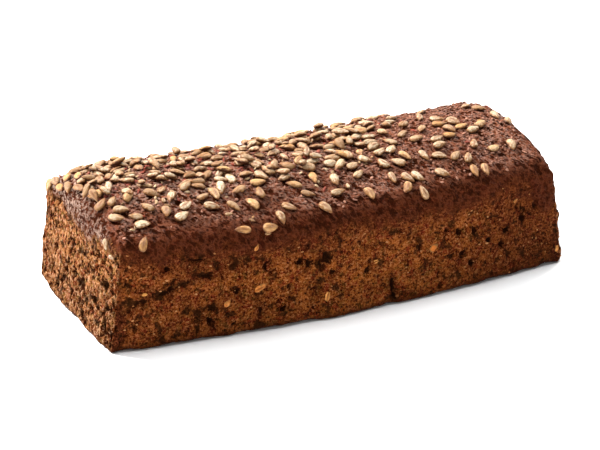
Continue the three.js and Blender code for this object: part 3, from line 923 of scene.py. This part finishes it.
class Recipe:
    """A procedural material, built node by node. Sizes are in millimetres, and colours from 0 to 255."""

    def __init__(self, name, roughness=0.5, specular=0.5):
        self.material = bpy.data.materials.new(name)
        self.material.use_nodes = True
        self.tree = self.material.node_tree
        self.shader = self.tree.nodes["Principled BSDF"].inputs
        self.feed(self.shader, {"Roughness": roughness, "Specular IOR Level": specular})
        self.place = self.add("TexCoord", {})["Object"]

    def feed(self, sockets, values):
        for key, value in values.items():
            socket = sockets[key]
            if isinstance(value, bpy.types.NodeSocket):
                self.tree.links.new(value, socket)
            else:
                socket.default_value = linear_colour(value) if socket.type == "RGBA" else value

    def add(self, kind, values, **settings):
        """A new node's outputs. The values are those of its inputs."""
        node = self.tree.nodes.new("ShaderNode" + kind)
        for key, value in settings.items():
            setattr(node, key, value)
        self.feed(node.inputs, values)
        return node.outputs

    def noise(self, size, detail=3, roughness=0.55, stretch=None, turn=FOLD_TURN):
        """Noise, drawn out in the turn's own X direction where it has a stretch."""
        place = self.place
        if stretch:
            drawn_out = {"Vector": place, "Rotation": turn.to_euler(), "Scale": (stretch, 1, 1)}
            place = self.add("Mapping", drawn_out, vector_type="TEXTURE")["Vector"]
        values = {"Vector": place, "Scale": 1 / (size * MM), "Detail": detail, "Roughness": roughness}
        return self.add("TexNoise", values)["Fac"]

    def streaks(self, across, along, draw, counts):
        """Noise in a thing's own two directions, with so many changes each way, and its own for each draw."""
        values = {0: self.times(across, counts[0]), 1: self.times(along, counts[1]), 2: self.times(draw, 100)}
        place = self.add("CombineXYZ", values)[0]
        return self.add("TexNoise", {"Vector": place, "Scale": 1, "Detail": 2})["Fac"]

    def attribute(self, name):
        return self.add("Attribute", {}, attribute_name=name)["Fac"]

    def math(self, operation, first, second=0.0):
        return self.add("Math", {0: first, 1: second}, operation=operation)[0]

    def times(self, first, second):
        return self.math("MULTIPLY", first, second)

    def between(self, value, low, high, bottom=0.0, top=1.0):
        """Goes smoothly from bottom to top while the value goes from low to high."""
        values = {"Value": value, "From Min": low, "From Max": high, "To Min": bottom, "To Max": top}
        return self.add("MapRange", values, interpolation_type="SMOOTHSTEP")["Result"]

    def between_two(self, share, first, second):
        """One number or another, by share."""
        return self.add("Mix", {0: share, 2: first, 3: second}, data_type="FLOAT")[0]

    def blend(self, share, first, second):
        """One colour or another, by share."""
        return self.add("Mix", {0: share, 6: first, 7: second}, data_type="RGBA")[2]

    def coated(self, colour, *coats):
        """The colour with further ones over it, each with its share."""
        for share, coat in coats:
            colour = self.blend(share, colour, coat)
        return colour

    def patches(self, size, low, high, most=1.0, detail=4, roughness=0.65):
        """The share of one colour in another, in ragged patches."""
        return self.between(self.noise(size, detail, roughness), low, high, 0, most)

    def bump(self, height, depth, **over):
        return self.add("Bump", {"Height": height, "Distance": depth * MM, **over})["Normal"]

    def finish(self, values):
        self.feed(self.shader, values)
        return self.material


def side_colour(recipe):
    """Brown crumb with maroon and olive patches, browned redder and darker towards the crust, with painted
    shade towards the ends and beside the corners.
    """
    tint = recipe.patches(6, 0.36, 0.64, detail=5, roughness=0.7)
    return recipe.coated(
        recipe.blend(tint, (96, 43, 14), (164, 90, 38)),
        (recipe.patches(4.6, 0.52, 0.62, 0.75), (122, 42, 20)),
        (recipe.patches(3.4, 0.54, 0.63, 0.7), (88, 62, 20)),
        # browning up the wall, and painted shade towards the ends and beside the corners
        (recipe.times(recipe.attribute("browning_and_shade"), 0.8), (64, 26, 14)),
    )


def end_colour(recipe):
    """Paler crumb, with reddish and olive patches, and painted shade low down."""
    tint = recipe.patches(4, 0.38, 0.6, roughness=0.55)
    return recipe.coated(
        recipe.blend(tint, (96, 46, 18), (156, 104, 62)),
        (recipe.patches(3.6, 0.53, 0.62, 0.7), (136, 60, 38)),
        (recipe.patches(3.0, 0.54, 0.64, 0.7), (120, 96, 48)),
        # painted shade low down
        (recipe.times(recipe.attribute("low"), 0.33), (62, 27, 6)),
    )


def crumb_colour(recipe, end, sponge):
    """The walls' open crumb, with painted shade in its pores and painted highlights on the thin walls between
    them.
    """
    side_rim_highlight = recipe.blend(recipe.attribute("browning_and_shade"), (194, 124, 76), (144, 78, 46))
    # painted highlights on the thin walls between the pores
    rim_highlights = recipe.times(recipe.between(sponge, 0.54, 0.62), recipe.between(end, 0, 1, 0.75, 0.6))
    pores = recipe.math("SUBTRACT", sponge, recipe.between(end, 0, 1, 0, 0.01))
    hollow_shade = recipe.math("ADD", recipe.attribute("cavity_shade"), recipe.between(sponge, 0.3, 0.7, 0.35, -0.35))
    crack_stain_and_shade = recipe.attribute("crack_stain_and_shade")
    stains = recipe.math("ADD", recipe.noise(5.4, detail=5), recipe.between(crack_stain_and_shade, 0, 1, 0, 0.08))
    return recipe.coated(
        recipe.blend(end, side_colour(recipe), end_colour(recipe)),
        (rim_highlights, recipe.blend(end, side_rim_highlight, (194, 152, 118))),
        # painted shade in the pores
        (recipe.between(pores, 0.47, 0.41), (34, 10, 1)),
        # painted shade in the hollows of the relief
        (recipe.between(hollow_shade, 0.2, 0.7, 0, 0.8), (38, 13, 2)),
        # painted shade beside the cracks
        (recipe.times(crack_stain_and_shade, 0.4), (50, 21, 8)),
        (recipe.between(stains, 0.55, 0.64, 0, 0.82), (32, 17, 5)),
        (recipe.times(recipe.attribute("foot"), 0.6), (58, 25, 9)),
        # painted shade down in the cracks and open holes
        (recipe.times(recipe.attribute("crack"), 0.8), (26, 12, 4)),
    )


def skin_colour(recipe, wrinkles, steep, shaded):
    """The baked crust: dark red-brown, with painted pinkish highlights on its ridges, painted pale glints,
    and painted shade in its dents and on its steep and front-facing slopes.
    """
    tint = recipe.patches(8, 0.36, 0.64, detail=5, roughness=0.7)
    # the share of a painted pinkish highlight on the ridges of the folds
    ridges = recipe.times(recipe.between(wrinkles, 0.5, 0.74), recipe.between(steep, 0, 1, 0.8, 0.6))
    grainy = recipe.times(recipe.patches(1.8, 0.46, 0.56), recipe.between(wrinkles, 0.4, 0.56))
    # painted shade in the hollows of the folds
    dent_shade = recipe.times(recipe.between(wrinkles, 0.48, 0.32), recipe.between(steep, 0, 1, 0.85, 0.6))
    return recipe.coated(
        recipe.blend(tint, (58, 21, 4), (94, 41, 18)),
        (recipe.patches(4, 0.54, 0.62, 0.5), (98, 34, 18)),
        (recipe.patches(3.2, 0.55, 0.63, 0.5), (122, 62, 26)),
        # painted highlight on the ridges, duller on steep slopes
        (ridges, recipe.blend(steep, (162, 100, 74), (150, 78, 48))),
        # painted pale glints on the grain
        (recipe.times(recipe.attribute("painted_glints"), grainy), (236, 200, 178)),
        (dent_shade, (34, 10, 0)),
        (recipe.times(shaded, 0.5), (40, 17, 9)),
    )


def folded_skin(recipe):
    """Height of the crust's fine folds, from 0 to 1: thin ridges, broken up by grain."""
    coarse = recipe.noise(4.6, detail=5, roughness=0.65, stretch=1.6)
    ridges = recipe.math("SUBTRACT", 1, recipe.math("ABSOLUTE", recipe.between(coarse, 0.3, 0.7, -1, 1)))
    grain = recipe.noise(1.5, detail=2, roughness=0.6, stretch=1.3)
    return recipe.between_two(0.48, ridges, grain)


def body_material():
    """Crumb on the walls and skin on the crust, which is glossy in patches where it is flat."""
    recipe = Recipe("rye_crust")
    recipe.shader["Specular Tint"].default_value = (1, 0.66, 0.56, 1)
    crust = recipe.attribute("crust")
    end = recipe.attribute("end")
    steep = recipe.attribute("steep")
    side_sponge = recipe.noise(1.25, detail=3, roughness=0.8)
    end_sponge = recipe.noise(1.7, detail=3, roughness=0.72, stretch=1.5, turn=UPRIGHT_TURN)
    sponge = recipe.between_two(end, side_sponge, end_sponge)
    wrinkles = folded_skin(recipe)
    shaded = recipe.math("MAXIMUM", steep, recipe.attribute("front_slope"))
    flat_crust = recipe.times(crust, recipe.between(shaded, 0, 1, 1, 0.25))
    glossy = recipe.times(flat_crust, recipe.between(recipe.noise(2.8), 0.42, 0.6))
    glaze = recipe.times(glossy, recipe.between(wrinkles, 0.38, 0.5))
    porous = recipe.bump(recipe.between_two(crust, sponge, 0.5), 2.5)
    wrinkled = recipe.times(crust, recipe.between(steep, 0, 1, 1, 0.9))
    skin = skin_colour(recipe, wrinkles, steep, shaded)
    return recipe.finish({
        "Base Color": recipe.blend(crust, crumb_colour(recipe, end, sponge), skin),
        "Normal": recipe.bump(recipe.between_two(wrinkled, 0.5, wrinkles), 3.8, Normal=porous),
        "Roughness": recipe.between(glaze, 0, 1, 0.85, 0.38),
        "Specular IOR Level": recipe.between(glaze, 0, 1, 0.02, 0.36),
    })


def kernel_material(name, dark, light, worn, roughness, specular):
    """A kernel: between two tones on top, with worn streaks, brown at its edges, partly from toasting and
    partly painted shade, darkest underneath with painted shade, and its crease darkened with painted shade.
    """
    recipe = Recipe(name, roughness, specular)
    tone = recipe.attribute("tone")
    along = recipe.attribute("tip")
    streaks = recipe.streaks(recipe.attribute("across"), along, tone, (4, 1.1))
    uneven = recipe.between(recipe.noise(2.5), 0.3, 0.7, -0.35, 0.35)
    rise = recipe.math("ADD", recipe.attribute("rise"), uneven)
    colour = recipe.coated(
        recipe.blend(tone, dark, light),
        (recipe.patches(1.3, 0.42, 0.66, 0.6, roughness=0.6), worn),
        (recipe.between(streaks, 0.5, 0.62, 0, 0.75), worn),
        (recipe.between(recipe.attribute("toast"), 0.74, 1, 0, 0.65), (198, 142, 72)),
        # brown lower sides: partly toasting, partly painted shade
        (recipe.between(rise, 0.8, 0.3), (138, 94, 50)),
        # painted shade underneath
        (recipe.between(rise, 0.34, -0.15), (78, 42, 15)),
        (recipe.between(along, 0.6, 1, 0, 0.6), (132, 78, 36)),
        # painted shade in the crease
        (recipe.attribute("crease"), (112, 62, 24)),
    )
    rough = recipe.bump(recipe.noise(1.2), 0.6)
    return recipe.finish({"Base Color": colour, "Normal": recipe.bump(streaks, 0.8, Normal=rough)})


def grain_material(name, settings):
    """Small grains: each has its own tone between two colours, mottled over its surface."""
    recipe = Recipe(name, settings["roughness"], settings["specular"])
    mottle = recipe.between(recipe.noise(1.1), 0.3, 0.7, 0, 0.3)
    share = recipe.math("ADD", recipe.times(recipe.attribute("tone"), 0.7), mottle)
    colour = recipe.blend(share, settings["dark"], settings["light"])
    return recipe.finish({"Base Color": colour, "Normal": recipe.bump(recipe.noise(0.6, detail=2), 0.12)})


# ---- the stage

CAMERA_AZIMUTH = -25.093
CAMERA_ELEVATION = 24.387
CAMERA_DISTANCE = 1629.5
CAMERA_TARGET = (0, PLAN_SHIFT, 32.667)
TARGET_RIGHT = -0.830  # how far right of and above that target the camera's axis passes
TARGET_UP = -4.751
LENS = 174.52
FAR_ENOUGH = 20  # metres that the camera sees
FLOOR_SIZE = 6  # metres
ROOM_BRIGHTNESS = 0.2
# Far-off soft lamps: where each stands, how many degrees wide it looks, its strength and its colour.
LAMPS = dict(
    top=((0, 0, 1), 32, 2.7, (0.97, 0.99, 1)),
    key=((-0.44, 0.6, 0.67), 12, 9.5, (1, 0.955, 0.925)),
    rim=((0.7, 0.5, 0.5), 12, 2.0, (1, 0.94, 0.88)),
    fill=((-0.5, -0.8, 0.4), 30, 0.35, (1, 1, 1)),
)


def make_camera():
    azimuth = math.radians(CAMERA_AZIMUTH)
    elevation = math.radians(CAMERA_ELEVATION)
    level = math.cos(elevation)
    back = Vector((math.sin(azimuth) * level, -math.cos(azimuth) * level, math.sin(elevation)))
    right = Vector((math.cos(azimuth), math.sin(azimuth), 0))
    up = back.cross(right)
    place = Vector(CAMERA_TARGET) + right * TARGET_RIGHT + up * TARGET_UP + back * CAMERA_DISTANCE
    data = bpy.data.cameras.new("camera")
    data.lens = LENS
    data.clip_end = FAR_ENOUGH
    camera = add_object("camera", data)
    camera.matrix_world = Matrix.Translation(place * MM) @ Matrix((right, up, back)).transposed().to_4x4()
    bpy.context.scene.camera = camera


def make_lamp(name, towards, width, strength, colour):
    data = bpy.data.lights.new(name, "SUN")
    data.angle = math.radians(width)
    data.energy = strength
    data.color = colour
    add_object(name, data).rotation_euler = Vector(towards).to_track_quat("Z", "Y").to_euler()


def make_world():
    """A dim white room. The camera sees it as bright as the floor."""
    world = bpy.data.worlds.new("studio")
    world.use_nodes = True
    tree = world.node_tree
    background = tree.nodes["Background"]
    background.inputs["Color"].default_value = (1, 1, 1, 1)
    seen = tree.nodes.new("ShaderNodeLightPath").outputs["Is Camera Ray"]
    brightness = tree.nodes.new("ShaderNodeMapRange")
    brightness.inputs["To Min"].default_value = ROOM_BRIGHTNESS
    tree.links.new(seen, brightness.inputs["Value"])
    tree.links.new(brightness.outputs["Result"], background.inputs["Strength"])
    bpy.context.scene.world = world


def make_floor():
    half = FLOOR_SIZE / 2
    corners = [(-half, -half, 0), (half, -half, 0), (half, half, 0), (-half, half, 0)]
    mesh = bpy.data.meshes.new("floor")
    mesh.from_pydata(corners, [], [(0, 1, 2, 3)])
    recipe = Recipe("floor_white", roughness=0.9, specular=0)
    mesh.materials.append(recipe.finish({"Base Color": (255, 255, 255)}))
    floor = add_object("floor", mesh)


# ---- everything together


def make_body(material):
    """The body's piece. Gives its points, the form's normals there, and how far each belongs to the crust."""
    grid, faces, rim = box_shell()
    smooth = body_points(grid)
    normals = outward_at(smooth)
    points, attributes = relieved(smooth, normals)
    make_piece("loaf_crust", points, faces.tolist() + [rim.tolist()], attributes, material, "crust")
    return points, normals, attributes["crust"]


def make_small_things(points, normals, crust):
    """Grains all over the crust, flakes and chips among its kernels, and specks in the walls."""
    x, y, _ = points.T
    upward = np.clip(normals[:, 2], 0, 1)
    among_kernels = np.where(upward > 0.85, crust, 0) * scatter_at(x, y - PLAN_SHIFT + bow_at(x))
    towards_back = smoothstep(y, -30, 20) + 0.15
    things = {
        "crust_grains": (crust * (0.003 + upward**20), GRAINS),
        "bran_flakes": (among_kernels * towards_back, FLAKES),
        "kernel_chips": (among_kernels, CHIPS),
        "wall_specks": ((1 - crust) * (normals[:, 2] > -0.5), SPECKS),
    }
    for name, (weights, settings) in things.items():
        make_scattered(name, points, normals, weights, settings)


make_camera()
bpy.context.scene.view_settings.view_transform = "Standard"
make_world()
for lamp_name, lamp in LAMPS.items():
    make_lamp(lamp_name, *lamp)
make_floor()

body = make_body(body_material())
make_kernels(kernel_material("sunflower_kernel", (150, 111, 71), (211, 193, 163), (142, 106, 67), 0.5, 0.35))
make_wall_kernels(kernel_material("baked_kernel", (196, 112, 46), (240, 168, 92), (184, 98, 38), 0.7, 0.1))
make_small_things(*body)
